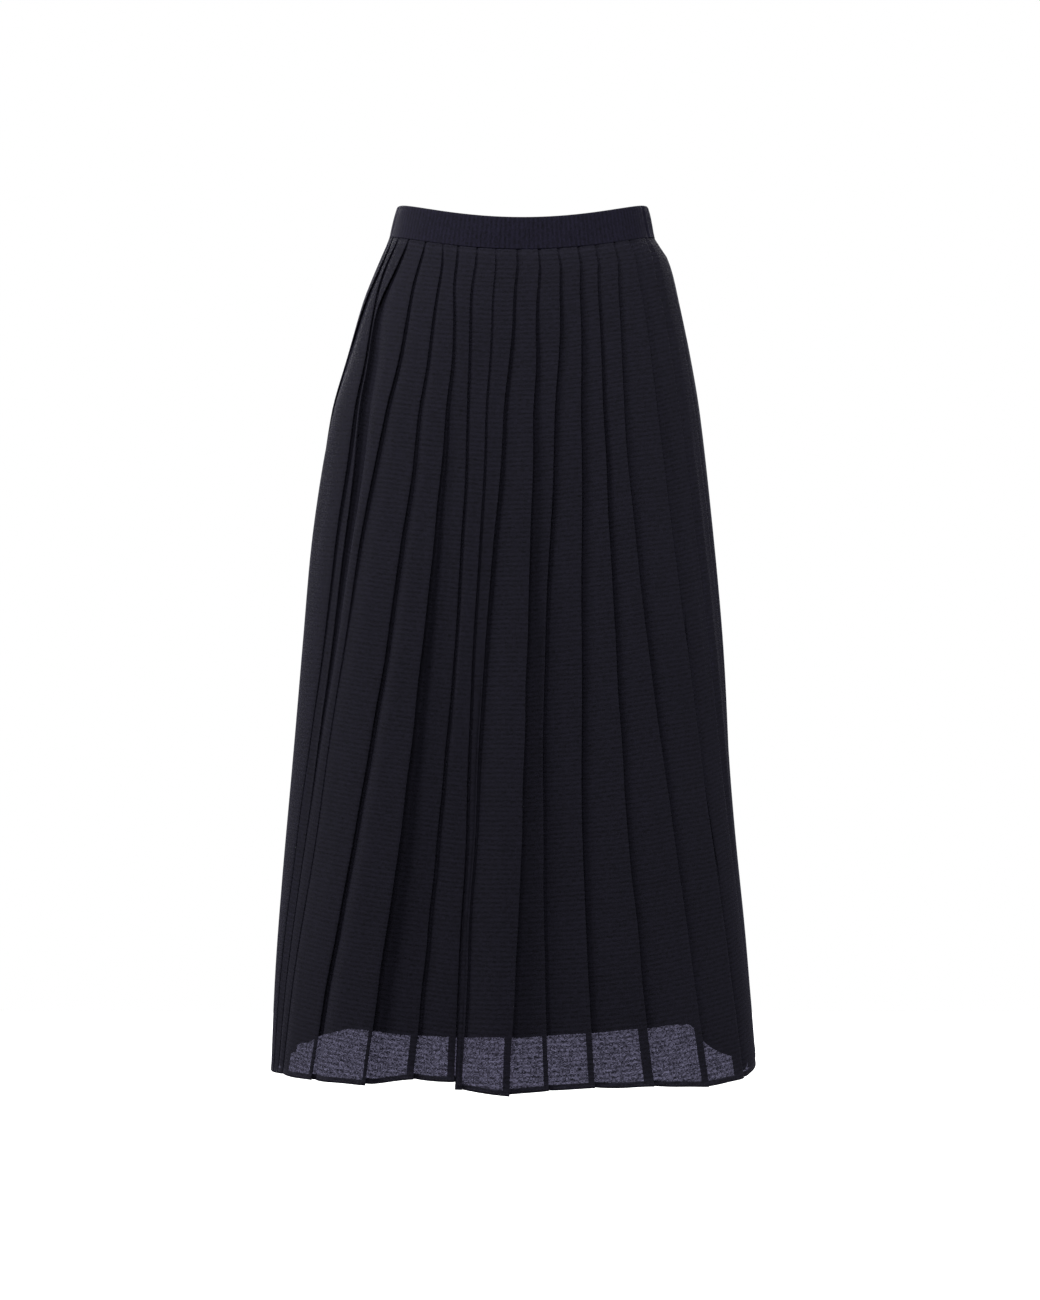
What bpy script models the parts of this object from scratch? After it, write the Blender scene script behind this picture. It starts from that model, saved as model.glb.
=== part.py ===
"""A pleated midi skirt, filled out as it hangs from the waist.

Six pieces of cloth: a front and a back panel of knife pleats, a flat front waistband,
an elasticated back waistband, and a front and a back lining that end above the hem.
The origin is the centre of the waist. The front faces -Y, and bearings run round the
skirt in degrees from the front centre (0) through the wearer's left side (+X, 90).
"""

import math
from collections import namedtuple

import bpy

MM = 0.001

# Cloth
WALL = 1.0  # mm, shell and lining
SEAM_GAP = 0.3  # between two pieces at a seam
BAND_WALL = 3.0  # a doubled waistband with its seam allowances
BAND_HEIGHT = 30.0
BAND_PROUD = 0.3  # the band's outer face past the skirt's outline

# Levels below the origin, at the front centre
BAND_TOP = -10.0
SEAM = BAND_TOP - BAND_HEIGHT
HEM = -812.0
SIDE_RISE = 20.0  # the waist is this much higher at the sides
BACK_RISE = 12.0  # and this much at the back
RISE_ENDS = -400.0  # where the rise has faded from the cloth
HEM_STARTS = -560.0  # below here a fold's own hem level shows

# Pleats
CLOTH_PER_PLEAT = (48.0, 66.0)  # at the seam and at the hem
LAYER_PITCH = (1.5, 1.8)  # one layer of a pleat to the next, at the seam and the hem
VALLEY = (0.0, 11.0)  # deepest inward lean of an underlay, at the seam and the hem
FLAT_UNTIL = -60.0  # pleats lie flat down to here
OPEN_FROM = -520.0  # and have their hem overlap from here down
EMERGE = 1.6  # a panel comes out this far past the fold that covers it
MIN_UNDERLAY = 6.0
STEP_ROOM = 6.5  # of a panel is left in one layer where its pleats are closest
PANEL_BOW = 0.2  # of the lean, by which a panel sits back before its fold
OUTER_LAYER = -0.2  # centre of the outermost layer from the outline

# Gathers of the elastic
PUCKERS = 44
PUCKER_HEIGHT = 1.3

# Lining
LINING_INSIDE = (5.4, 19.5)  # from the outline, at the seam and at its hem
LINING_HEM = {"front": -764.0, "side": -790.0, "back": -768.0}
LINING_WAVES = 9
LINING_WAVE_DEPTH = 5.0
LINING_COLUMNS = 40

# Seams, as bearings
RIGHT_SEAM = 71.0
LEFT_SEAM = 281.0

ROW_LEVELS = (-60, -85, -120, -170, -240, -330, -440, -560, -690, HEM)
LINING_LEVELS = (-60, -100, -160, -240, -360, -500, -640)

Section = namedtuple("Section", "level centre half_width front_depth back_depth")
SECTIONS = (
    Section(-10, 2.4, 118.1, 92, 92),
    Section(-40, 1.9, 125.4, 96, 98),
    Section(-60, 4.0, 136.0, 101, 107),
    Section(-100, 0.8, 150.0, 108, 119),
    Section(-150, -1.2, 163.0, 114, 132),
    Section(-200, -4.3, 175.0, 119, 142),
    Section(-300, -6.7, 189.5, 127, 152),
    Section(-400, -6.8, 199.0, 133, 157),
    Section(-550, -8.8, 210.0, 141, 162),
    Section(-700, -8.3, 222.5, 148, 167),
    Section(-812, -6.2, 230.0, 152, 171),
)

# Bearings of the outer folds of the front at eight levels, and at the hem the
# overlap that shows (mm) and how far the hem hangs above or below its level (mm).
FOLD_LEVELS = (-40, -70, -110, -170, -260, -400, -600, -812)
Fold = namedtuple("Fold", "name bearings overlap drop")
LEFT_SIDE_FOLD = Fold("A", (-77, -77, -79, -84, -90, -94, -97, -99), 5.0, 2)
FRONT_FOLDS = (
    Fold("B", (-68, -69, -66, -62, -59, -62, -69.5, -79), 4.0, 4),
    Fold("C", (-56, -57.5, -59, -57, -53, -55.5, -65, -76), 4.0, 4),
    Fold("D", (-45.5, -45.5, -43.5, -43, -45, -51, -60.5, -72.5), 6.0, 4),
    Fold("E", (-35.5, -33.5, -31.5, -31, -30.5, -35.5, -43, -54), 4.5, 3),
    Fold("F", (-27.5, -27, -23.5, -21.5, -21, -24, -29, -36.5), 5.5, 3),
    Fold("G", (-19, -19.5, -17.5, -15.5, -13.5, -15, -18.5, -24), 8.0, 8),
    Fold("H", (-11, -11, -9.5, -9, -8.5, -10, -11, -13.5), 5.0, 7),
    Fold("I", (-2, -3, -2.5, -3, -3.5, -6.5, -8, -11.5), 4.0, 0),
    Fold("J", (7, 5.5, 5.5, 5.5, 5.5, 4, 2.5, -1), 5.5, -4),
    Fold("K", (15.5, 14, 14, 12.5, 11.5, 8.5, 8.5, 7), 4.0, 0),
    Fold("L", (24.5, 22, 21.5, 20.5, 20, 19, 18, 18), 4.5, 2),
    Fold("M", (33, 29.5, 29, 28, 28, 28.5, 31, 32.5), 7.5, 1),
    Fold("N", (43, 38.5, 37, 35.5, 36, 39, 46.5, 50.5), 4.5, -2),
    Fold("O", (53.5, 49.5, 49.5, 49, 50, 54, 62, 69), 7.0, 1),
    Fold("P", (67, 61, 61.5, 61, 63, 66.5, 76, 86.5), 6.0, 9),
)

# The back's folds are even at the waist. At the hem each panel has its share of
# the width, its overlap and its hang.
BackFold = namedtuple("BackFold", "share overlap drop")
BACK_FOLDS = (
    BackFold(0.8, 6.0, 30),
    BackFold(1.0, 5.0, 34),
    BackFold(1.2, 7.0, 36),
    BackFold(0.9, 5.0, 35),
    BackFold(1.1, 6.0, 37),
    BackFold(0.8, 8.0, 36),
    BackFold(1.2, 5.0, 38),
    BackFold(1.0, 6.0, 37),
    BackFold(1.3, 5.0, 36),
    BackFold(0.8, 7.0, 38),
    BackFold(1.1, 6.0, 36),
    BackFold(0.9, 5.0, 37),
    BackFold(1.2, 6.0, 35),
    BackFold(0.9, 7.0, 33),
    BackFold(1.1, 5.0, 25),
    BackFold(0.9, 6.0, 13),
    BackFold(0.8, LEFT_SIDE_FOLD.overlap, LEFT_SIDE_FOLD.drop),
)
BACK_SPREAD = 1.25  # how soon the back's folds leave their place at the waist

Colour = namedtuple("Colour", "rgb roughness")
CLOTH_COLOUR = Colour((0.012, 0.011, 0.019), 0.72)
BAND_COLOUR = Colour((0.011, 0.010, 0.018), 0.70)
LINING_COLOUR = Colour((0.006, 0.006, 0.010), 0.55)


def ease(start, end, value):
    """From 0 at start to 1 at end, with soft ends."""
    share = min(max((value - start) / (end - start), 0.0), 1.0)
    return share * share * (3.0 - 2.0 * share)


def between(pair, level):
    """A size given at the seam and at the hem, at a level between them."""
    share = (level - SEAM) / (HEM - SEAM)
    return pair[0] + (pair[1] - pair[0]) * share


def through(levels, values, level):
    """A smooth curve through values at falling levels."""
    last = len(levels) - 2
    index = 0
    while index < last and level < levels[index + 1]:
        index += 1

    def slope(knot):
        low, high = max(knot - 1, 0), min(knot + 1, len(levels) - 1)
        return (values[high] - values[low]) / (levels[high] - levels[low])

    width = levels[index + 1] - levels[index]
    t = min(max((level - levels[index]) / width, 0.0), 1.0)
    return (
        (2 * t**3 - 3 * t**2 + 1) * values[index]
        + (t**3 - 2 * t**2 + t) * width * slope(index)
        + (3 * t**2 - 2 * t**3) * values[index + 1]
        + (t**3 - t**2) * width * slope(index + 1)
    )


SECTION_LEVELS = [section.level for section in SECTIONS]


def outline(level):
    """The oval outline at a level: centre, half width, front and back depth."""
    columns = list(zip(*SECTIONS))[1:]
    return [through(SECTION_LEVELS, column, level) for column in columns]


def oval_point(oval, bearing, offset):
    """A point on the oval at a bearing, moved out along its normal."""
    centre, half_width, front_depth, back_depth = oval
    angle = math.radians(bearing)
    depth = front_depth if math.cos(angle) > 0 else back_depth
    normal = (depth * math.sin(angle), -half_width * math.cos(angle))
    length = math.hypot(*normal)
    x = centre + half_width * math.sin(angle) + offset * normal[0] / length
    y = -depth * math.cos(angle) + offset * normal[1] / length
    return x, y


def mm_per_degree(oval, bearing):
    """Length of the oval that one degree of bearing covers."""
    angle = math.radians(bearing)
    depth = oval[2] if math.cos(angle) > 0 else oval[3]
    return math.radians(math.hypot(oval[1] * math.cos(angle), depth * math.sin(angle)))


def rise(level, bearing):
    """How far the waist's curve lifts the cloth at a level."""
    angle = math.radians(bearing)
    rest = 0.0 if math.cos(angle) > 0 else BACK_RISE
    at_waist = rest + (SIDE_RISE - rest) * math.sin(angle) ** 2
    return at_waist * ease(RISE_ENDS, SEAM, level)


def parted(level, shares, start, end):
    """How far round from start to end each share of the oval's length reaches."""
    oval = outline(level)
    steps = 180
    lengths = [0.0]
    for step in range(steps):
        middle = start + (end - start) * (step + 0.5) / steps
        lengths.append(lengths[-1] + mm_per_degree(oval, middle))
    reached, passed, step = [], 0.0, 0
    for share in shares:
        passed += share / sum(shares) * lengths[-1]
        while step < steps - 1 and lengths[step + 1] < passed:
            step += 1
        part = (passed - lengths[step]) / (lengths[step + 1] - lengths[step])
        reached.append((step + part) / steps)
    return reached


def fold_bearing(fold, level):
    return through(FOLD_LEVELS, fold.bearings, level)


# A pleat where a row crosses it: its outer fold's bearing, the overlap of its
# underlay and how far that leans in (mm), and the drop of its hem.
Pleat = namedtuple("Pleat", "bearing overlap lean drop")


def pleat(bearing, width, overlap_at_hem, drop, level):
    """The pleat whose cloth is what CLOTH_PER_PLEAT leaves under its panel."""
    underlay = max((between(CLOTH_PER_PLEAT, level) - width) / 2, MIN_UNDERLAY)
    opened = ease(FLAT_UNTIL, OPEN_FROM, level)
    overlap = underlay + (min(overlap_at_hem, underlay) - underlay) * opened
    overlap = min(overlap, width - STEP_ROOM)
    lean = math.sqrt(max(underlay**2 - overlap**2, 0.0))
    return Pleat(bearing, overlap, min(lean, between(VALLEY, level) * opened), drop)


def back_bearings(level, start, end):
    """Bearings of the back's folds, between the front's last fold and the left side."""
    even = parted(SEAM, [1.0] * len(BACK_FOLDS), start, end)
    at_hem = parted(HEM, [fold.share for fold in BACK_FOLDS], start, end)
    spread = max((SEAM - level) / (SEAM - HEM), 0.0) ** BACK_SPREAD
    return [
        start + (end - start) * (waist + (hem - waist) * spread)
        for waist, hem in zip(even, at_hem)
    ]


def all_pleats(level):
    """Every pleat at a level, from the left side fold round to itself."""
    bearings = [fold_bearing(fold, level) for fold in (LEFT_SIDE_FOLD,) + FRONT_FOLDS]
    bearings += back_bearings(level, bearings[-1], bearings[0] + 360)
    folds = FRONT_FOLDS + BACK_FOLDS
    oval = outline(level)
    pleats = []
    for start, end, fold in zip(bearings, bearings[1:], folds):
        width = (end - start) * mm_per_degree(oval, (start + end) / 2)
        pleats.append(pleat(end, width, fold.overlap, fold.drop, level))
    left = pleats[-1]
    return [left._replace(bearing=left.bearing - 360)] + pleats


def unit(vector):
    length = math.hypot(*vector)
    return vector[0] / length, vector[1] / length


def fold_points(each, layer):
    """Where the cloth of a pleat turns, round its outer and its inner fold.

    Each is (distance along the oval from the outer fold, offset from the outline):
    the panel before the fold, the fold's two corners, the inner fold's two corners,
    and where the next panel comes out from under the outer fold.
    """
    before = (-each.overlap - STEP_ROOM / 4, OUTER_LAYER - PANEL_BOW * each.lean)
    fold = (0.0, OUTER_LAYER)
    back = unit((before[0] - fold[0], before[1] - fold[1]))
    lean = unit((-each.overlap, -each.lean))
    middle = unit((back[0] + lean[0], back[1] + lean[1]))
    across = (-lean[1] * layer, lean[0] * layer)
    turned = (fold[0] - layer * middle[1], fold[1] + layer * middle[0])
    length = math.hypot(each.overlap, each.lean)
    far = (turned[0] + lean[0] * length, turned[1] + lean[1] * length)
    under = (far[0] + across[0], far[1] + across[1])
    emerged = (turned[0] + across[0] + EMERGE * abs(lean[0]), turned[1] + across[1])
    return before, fold, turned, far, under, emerged


def pleated_line(level, first, last):
    """The middle of the cloth from under pleat `first` to the underlay of `last`.

    Each item is (x, y, bearing, drop of the hem).
    """
    oval = outline(level)
    layer = between(LAYER_PITCH, level)
    pleats = all_pleats(level)
    line = []

    def add(each, distance, offset):
        bearing = each.bearing + distance / mm_per_degree(oval, each.bearing)
        line.append((*oval_point(oval, bearing, offset), bearing, each.drop))

    for covering, each in zip(pleats[first:last], pleats[first + 1 : last + 1]):
        for turn in fold_points(covering, layer)[4:]:
            add(covering, *turn)
        for turn in fold_points(each, layer)[:4]:
            add(each, *turn)
    return line


def offset_line(line, distance):
    """The line moved sideways by distance, mitred at its corners."""
    moved = []
    for index, point in enumerate(line):
        normals = []
        for start, end in ((index - 1, index), (index, index + 1)):
            if start < 0 or end >= len(line):
                continue
            run = (line[end][0] - line[start][0], line[end][1] - line[start][1])
            length = math.hypot(*run)
            normals.append((run[1] / length, -run[0] / length))
        mean = [sum(part) / len(normals) for part in zip(*normals)]
        square = mean[0] ** 2 + mean[1] ** 2
        reach = distance / max(square, 0.35)
        moved.append((point[0] + mean[0] * reach, point[1] + mean[1] * reach))
    return moved


def wall_triangles(row_count, columns, runs_back):
    """Triangles of a closed wall whose rows hold outer points, then inner points.

    Where the cloth runs back under itself its quads are split the other way, so
    that the layers of a fold bend alike and keep their distance.
    """
    outer = [[row * 2 * columns + c for c in range(columns)] for row in range(row_count)]
    inner = [[index + columns for index in row] for row in outer]
    triangles = []

    def quad(first, second, third, fourth, flipped=False):
        if flipped:
            triangles.extend([(first, second, fourth), (second, third, fourth)])
        else:
            triangles.extend([(first, second, third), (first, third, fourth)])

    for row in range(row_count - 1):
        for column, back in enumerate(runs_back):
            face = [
                side[at_row][at_column]
                for side in (outer, inner)
                for at_row, at_column in (
                    (row, column),
                    (row + 1, column),
                    (row + 1, column + 1),
                    (row, column + 1),
                )
            ]
            quad(*face[:4], flipped=back)
            quad(face[4], face[7], face[6], face[5], flipped=back)
        top, bottom = row, row + 1
        quad(outer[top][0], inner[top][0], inner[bottom][0], outer[bottom][0])
        quad(outer[bottom][-1], inner[bottom][-1], inner[top][-1], outer[top][-1])
    for column in range(columns - 1):
        here, there = column, column + 1
        quad(outer[0][here], outer[0][there], inner[0][there], inner[0][here])
        quad(inner[-1][here], inner[-1][there], outer[-1][there], outer[-1][here])
    return triangles


def make_piece(name, rows, colour, runs_back=None):
    """A closed wall from rows of (outer points, inner points), top to bottom."""
    columns = len(rows[0][0])
    runs_back = runs_back or [False] * (columns - 1)
    points = [point for outer, inner in rows for point in outer + inner]
    mesh = bpy.data.meshes.new(name)
    mesh.from_pydata(
        [[value * MM for value in point] for point in points],
        [],
        wall_triangles(len(rows), columns, runs_back),
    )
    mesh.materials.append(cloth_material(name, colour))
    piece = bpy.data.objects.new(name, mesh)
    bpy.context.scene.collection.objects.link(piece)
    return piece


def cloth_material(name, colour):
    material = bpy.data.materials.new(name)
    material.use_nodes = True
    shader = material.node_tree.nodes["Principled BSDF"]
    shader.inputs["Base Color"].default_value = (*colour.rgb, 1)
    shader.inputs["Roughness"].default_value = colour.roughness
    shader.inputs["Metallic"].default_value = 0
    return material


def make_skirt_panel(name, first, last):
    """A panel of knife pleats, from under fold `first` to under fold `last`."""
    rows = []
    for level in (SEAM - SEAM_GAP,) + ROW_LEVELS:
        line = pleated_line(level, first, last)
        hang = ease(HEM_STARTS, HEM, level)
        heights = [
            level + rise(level, bearing) + drop * hang for _, _, bearing, drop in line
        ]
        outer, inner = (
            [(x, y, z) for (x, y), z in zip(offset_line(line, side), heights)]
            for side in (WALL / 2, -WALL / 2)
        )
        rows.append((outer, inner))
    bearings = [bearing for _, _, bearing, _ in line]
    runs_back = [after < before for before, after in zip(bearings, bearings[1:])]
    return make_piece(name, rows, CLOTH_COLOUR, runs_back)


def ring_row(level, bearings, outer_offset, inner_offset, height_at):
    """A row of a plain wall: outer and inner points at each bearing."""
    oval = outline(level)
    return tuple(
        [
            (*oval_point(oval, bearing, offset(bearing)), height_at(bearing))
            for bearing in bearings
        ]
        for offset in (outer_offset, inner_offset)
    )


def spaced(start, end, count):
    return [start + (end - start) * step / count for step in range(count + 1)]


def seam_trim(oval, bearing):
    """Half a seam gap, in degrees of bearing."""
    return SEAM_GAP / 2 / mm_per_degree(oval, bearing)


def seam_to_seam(start, end, count):
    """Bearings from one side seam to the other, half a seam gap short of each."""
    narrowest = outline(BAND_TOP)
    trims = [seam_trim(narrowest, bearing) for bearing in (start, end)]
    return spaced(start + trims[0], end - trims[1], count)


def make_waistband(name, start, end, count, pucker):
    """A doubled band; `pucker` gives the height of its gathers along it."""
    bearings = seam_to_seam(start, end, count)
    index_of = {bearing: index for index, bearing in enumerate(bearings)}
    rows = []
    for level, share in ((BAND_TOP, 0.35), (BAND_TOP - BAND_HEIGHT / 2, 1), (SEAM, 0.6)):
        rows.append(
            ring_row(
                level,
                bearings,
                lambda bearing: BAND_PROUD + share * pucker(index_of[bearing]),
                lambda bearing: BAND_PROUD - BAND_WALL,
                lambda bearing: level + rise(SEAM, bearing),
            )
        )
    return make_piece(name, rows, BAND_COLOUR)


def lining_hem(bearing):
    """Level of the lining's hem, lower at the sides."""
    angle = math.radians(bearing)
    middle = LINING_HEM["front" if math.cos(angle) > 0 else "back"]
    return middle + (LINING_HEM["side"] - middle) * math.sin(angle) ** 4


def make_lining(name, start, end):
    """A smooth flared lining with soft waves that deepen to its hem."""
    bearings = seam_to_seam(start, end, LINING_COLUMNS)
    rows = []
    for level in (SEAM - SEAM_GAP,) + LINING_LEVELS + (LINING_HEM["front"],):
        last = level == LINING_HEM["front"]
        flare = ease(SEAM, LINING_HEM["front"], level)
        inside = LINING_INSIDE[0] + (LINING_INSIDE[1] - LINING_INSIDE[0]) * flare

        def wave(bearing):
            turns = LINING_WAVES * (bearing - start) / (end - start)
            return LINING_WAVE_DEPTH * flare * (0.5 - 0.5 * math.cos(math.tau * turns))

        rows.append(
            ring_row(
                level,
                bearings,
                lambda bearing: -inside - wave(bearing) + WALL / 2,
                lambda bearing: -inside - wave(bearing) - WALL / 2,
                lambda bearing: lining_hem(bearing)
                if last
                else level + rise(level, bearing),
            )
        )
    return make_piece(name, rows, LINING_COLOUR)


def clear_scene():
    for each in list(bpy.data.objects):
        bpy.data.objects.remove(each, do_unlink=True)


def build():
    clear_scene()
    front_end = len(FRONT_FOLDS)
    make_skirt_panel("front_skirt_panel", 0, front_end)
    make_skirt_panel("back_skirt_panel", front_end, front_end + len(BACK_FOLDS))
    make_waistband("front_waistband", LEFT_SEAM - 360, RIGHT_SEAM, 28, lambda index: 0.0)
    make_waistband(
        "back_waistband",
        RIGHT_SEAM,
        LEFT_SEAM,
        4 * PUCKERS,
        lambda index: PUCKER_HEIGHT * (0.5 - 0.5 * math.cos(math.tau * index / 4)),
    )
    make_lining("front_lining", LEFT_SEAM - 360, RIGHT_SEAM)
    make_lining("back_lining", RIGHT_SEAM, LEFT_SEAM)


build()
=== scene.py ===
import math
import random
from collections import namedtuple

import bpy
import numpy as np
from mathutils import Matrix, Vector


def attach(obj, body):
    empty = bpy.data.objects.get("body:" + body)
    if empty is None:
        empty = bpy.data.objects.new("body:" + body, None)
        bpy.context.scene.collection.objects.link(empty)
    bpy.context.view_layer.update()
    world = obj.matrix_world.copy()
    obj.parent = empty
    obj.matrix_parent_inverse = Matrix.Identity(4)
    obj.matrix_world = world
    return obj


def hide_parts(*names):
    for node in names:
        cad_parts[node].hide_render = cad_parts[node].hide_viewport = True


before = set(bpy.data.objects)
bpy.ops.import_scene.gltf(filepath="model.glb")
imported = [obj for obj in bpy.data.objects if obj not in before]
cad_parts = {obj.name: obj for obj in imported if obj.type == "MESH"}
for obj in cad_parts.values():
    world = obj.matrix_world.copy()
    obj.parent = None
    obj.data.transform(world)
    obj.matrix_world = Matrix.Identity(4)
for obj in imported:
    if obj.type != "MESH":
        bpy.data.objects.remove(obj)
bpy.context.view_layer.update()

mm = 0.001
print("frame loaded:", ", ".join(sorted(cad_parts)))

# Sizes are in mm. Levels are heights at the front centre, and bearings run in degrees
# from the front centre (0) round through the wearer's left side (90).
form = {
    "bandTop": -10.0,
    "seam": -40.0,
    "hem": -812.0,
    "sideRise": 20.0,  # the waist is this much higher at the sides
    "backRise": 12.0,  # and this much at the back
    "riseEnds": -400.0,  # from here down the cloth isn't lifted
    "hemStarts": -560.0,  # below here a fold's own hem level shows
    "seamGap": 0.3,
    "rightSeam": 71.0,  # the side seams' bearings, right and left as seen from the front
    "leftSeam": 281.0,
}

sections = (  # level, centre, half width, front depth, back depth
    (-10, 2.4, 118.1, 92, 92),
    (-40, 1.9, 125.4, 96, 98),
    (-60, 4.0, 136.0, 101, 107),
    (-100, 0.8, 150.0, 108, 119),
    (-150, -1.2, 163.0, 114, 132),
    (-200, -4.3, 175.0, 119, 142),
    (-300, -6.7, 189.5, 127, 152),
    (-400, -6.8, 199.0, 133, 157),
    (-550, -8.8, 210.0, 141, 162),
    (-700, -8.3, 222.5, 148, 167),
    (-812, -6.2, 230.0, 152, 171),
)

# Each fold has these at eight levels: its bearing, how far its edge stands off the oval
# (stands), and how deep the next panel starts behind it (hollows) with a narrow groove at
# its root (grooves). That panel stays deep up to one share of its width (rests) and is out
# by another (rises). At the hem come its overlap and how far above the hem's level it ends
# (drop).
foldLevels = (-40, -70, -110, -170, -260, -400, -600, -812)
flat = (0,) * 8
Fold = namedtuple("Fold", "name bearings stands hollows grooves rests rises overlap drop")
leftSideFold = Fold(
    "A", (-77, -77.5, -79.5, -86, -95, -98, -99, -99), flat,
    (1.4, 2.2, 2.6, 1.8, 1, 1, 1, 1), flat,
    (0, 0.1, 0.2, 0.2, 0, 0, 0, 0), (0.4, 0.6, 0.7, 0.7, 0.4, 0.4, 0.4, 0.4), 5.0, 2,
)
frontFolds = (
    Fold(
        "B", (-68.5, -70, -65, -60.75, -59.25, -62.25, -70.75, -80.5), flat,
        (1.4, 1.6, 2.4, 3.6, 3, 1.6, 0.8, 0.8), (0.4, 0.8, 1.5, 1.5, 0.6, 0, 0, 0),
        (0, 0, 0, 0, 0.2, 0.2, 0, 0), (0.4, 0.5, 0.7, 0.9, 1, 1, 1, 1), 3.0, 4,
    ),
    Fold(
        "C", (-58.25, -59.75, -62, -58.5, -55.5, -58, -66, -77),
        (0, 0, 0, -0.5, -2, -1.5, -2.4, -2),
        (1.6, 2.4, 4.5, 7, 8, 4.5, 3.2, 2.8), (0.6, 1, 0.5, 0, 0, 0, 0, 0),
        (0, 0, 0.1, 0.2, 0.25, 0.2, 0, 0), (0.3, 0.4, 0.6, 0.7, 0.8, 0.8, 0.8, 0.8), 2.5, 4,
    ),
    Fold(
        "D", (-46.25, -46, -43.75, -43.75, -45.75, -51.75, -60, -72),
        (0, 0, 0, 0, 0, -0.6, -2.2, -1.8),
        (1.6, 1.8, 2.4, 3.4, 3.4, 2, 3, 2.6), (0.6, 1, 1.2, 1.5, 1, 0, 0, 0),
        flat, (0.25, 0.25, 0.3, 0.4, 0.5, 0.45, 0.4, 0.35), 6.0, 4,
    ),
    Fold(
        "E", (-36.25, -34, -32.25, -31.25, -31.25, -35.5, -43.5, -54.5), flat,
        (1.1, 1.8, 2, 2.4, 4, 4.2, 4.2, 4), (0.3, 1, 1.4, 1.5, 1.8, 1.8, 1.2, 1),
        flat, (0.2, 0.25, 0.3, 0.35, 0.4, 0.4, 0.35, 0.35), 8.0, 3,
    ),
    Fold(
        "F", (-28.75, -27.75, -24, -22, -21.75, -24.25, -28.75, -36), (0, 0, 0, 0, 0, 1, 2, 2),
        (1.6, 1.8, 2, 3.4, 7, 10, 12, 11), (0.8, 1.2, 1.4, 1.5, 1, 0.5, 0, 0),
        flat, (0.25, 0.25, 0.4, 0.7, 1, 1, 1, 1), 9.0, 3,
    ),
    Fold(
        "G", (-19.75, -20, -18, -15.75, -14.25, -15.5, -19.25, -24.25),
        (0, 0, 0, 0, -0.5, -2, -8, -11),
        (1.4, 1.6, 2.2, 2.4, 3.4, 5.6, 12, 15), (0.8, 1.2, 1.4, 1.5, 1.8, 1.8, 1.4, 1.2),
        flat, (0.2, 0.2, 0.2, 0.2, 0.3, 0.35, 0.6, 1), 8.0, 8,
    ),
    Fold(
        "H", (-11.5, -11.5, -10.25, -9.5, -8.75, -10.5, -11.5, -14), (0, 0, 0, 0, 0, -1, -5, -7),
        (1.2, 1.2, 1.4, 1.6, 2, 3.6, 9, 10), (0.3, 0.4, 0.8, 1, 1.2, 1.4, 1.2, 0.3),
        flat, (0.15, 0.15, 0.15, 0.15, 0.2, 0.25, 0.5, 0.5), 6.5, 7,
    ),
    Fold(
        "I", (-2.5, -3.5, -3, -3.5, -4.25, -7.25, -9.25, -12), (0, 0, 0, 0, -0.5, -2, -6, -6),
        (1.6, 1.8, 2.6, 3.6, 5, 6.5, 8, 8), (0.8, 1.6, 2.4, 2.6, 2.4, 1.6, 1, 1),
        flat, (0.25, 0.3, 0.4, 0.6, 0.9, 0.9, 0.9, 0.9), 10.0, 0,
    ),
    Fold(
        "J", (6.5, 5.25, 5.25, 5.25, 5.25, 3.75, 2.5, -1), (0, 0, 0, 0.5, 1.5, 3.5, 4.5, 4.5),
        (1.6, 2, 3.6, 5.2, 7.5, 10.5, 12, 11.5), (0.8, 1.4, 1.4, 1, 0.5, 0, 0, 0),
        flat, (0.25, 0.3, 0.5, 0.8, 1, 1, 1, 1), 5.5, -4,
    ),
    Fold(
        "K", (14.75, 13.5, 13.75, 12.25, 11.25, 8.75, 8.25, 8.15), (0, 0, 0, -0.5, -2, -6, -9, -8),
        (1.6, 2.4, 4, 5, 7, 9.5, 12.5, 11.5), (0.8, 1.4, 2, 2, 2.4, 2.4, 1.2, 1.2),
        flat, (0.3, 0.6, 0.9, 1, 1, 1, 1, 1), 3.0, 0,
    ),
    Fold(
        "L", (23.75, 21.5, 21.25, 20.5, 19.75, 18.5, 18, 18.75), flat,
        (1.8, 3.6, 5.4, 6.4, 6.4, 6, 6.5, 4.5), (1, 1.5, 1.8, 2, 2.4, 2.6, 2.6, 1.6),
        flat, (0.8, 0.9, 0.9, 0.9, 0.8, 0.6, 0.5, 0.4), 3.2, 2,
    ),
    Fold(
        "M", (32.25, 29, 28.5, 27.75, 27.75, 28.25, 30.75, 34), flat,
        (1.8, 2.6, 3.2, 3.8, 5.8, 5.4, 4.4, 3.8), (1, 2, 2.8, 3.4, 3.6, 3.6, 3.4, 3),
        flat, (0.5, 0.45, 0.4, 0.4, 0.45, 0.4, 0.4, 0.4), 6.0, 1,
    ),
    Fold(
        "N", (42.5, 38.5, 37, 35.5, 35.5, 38.5, 45.75, 51.75), flat,
        (1.6, 3.6, 4.4, 4.6, 5.4, 5, 4.2, 3), (0.8, 3, 3.6, 3.6, 3.4, 3.6, 3.4, 1.6),
        flat, (0.4, 0.35, 0.35, 0.35, 0.4, 0.25, 0.25, 0.4), 3.5, -2,
    ),
    Fold(
        "O", (52.5, 49, 49.5, 49, 50, 54, 62.25, 69.5), flat,
        (2, 4.8, 5.6, 6, 5.6, 5, 4.4, 3.8), (1, 3, 3.4, 3.8, 3.6, 2.8, 2.4, 2),
        flat, (0.6, 0.6, 0.6, 0.6, 0.6, 0.4, 0.16, 0.15), 7.0, 1,
    ),
    Fold(
        "P", (67, 61, 61.5, 61, 63, 66.5, 76, 86.5), flat,
        (2, 3.2, 4, 4.4, 3.8, 2.4, 1.4, 1.2), (1, 2, 2, 2, 1.4, 0.6, 0, 0),
        flat, (0.45, 0.45, 0.45, 0.5, 0.5, 0.6, 0.6, 0.6), 32.0, 9,
    ),
)
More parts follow.
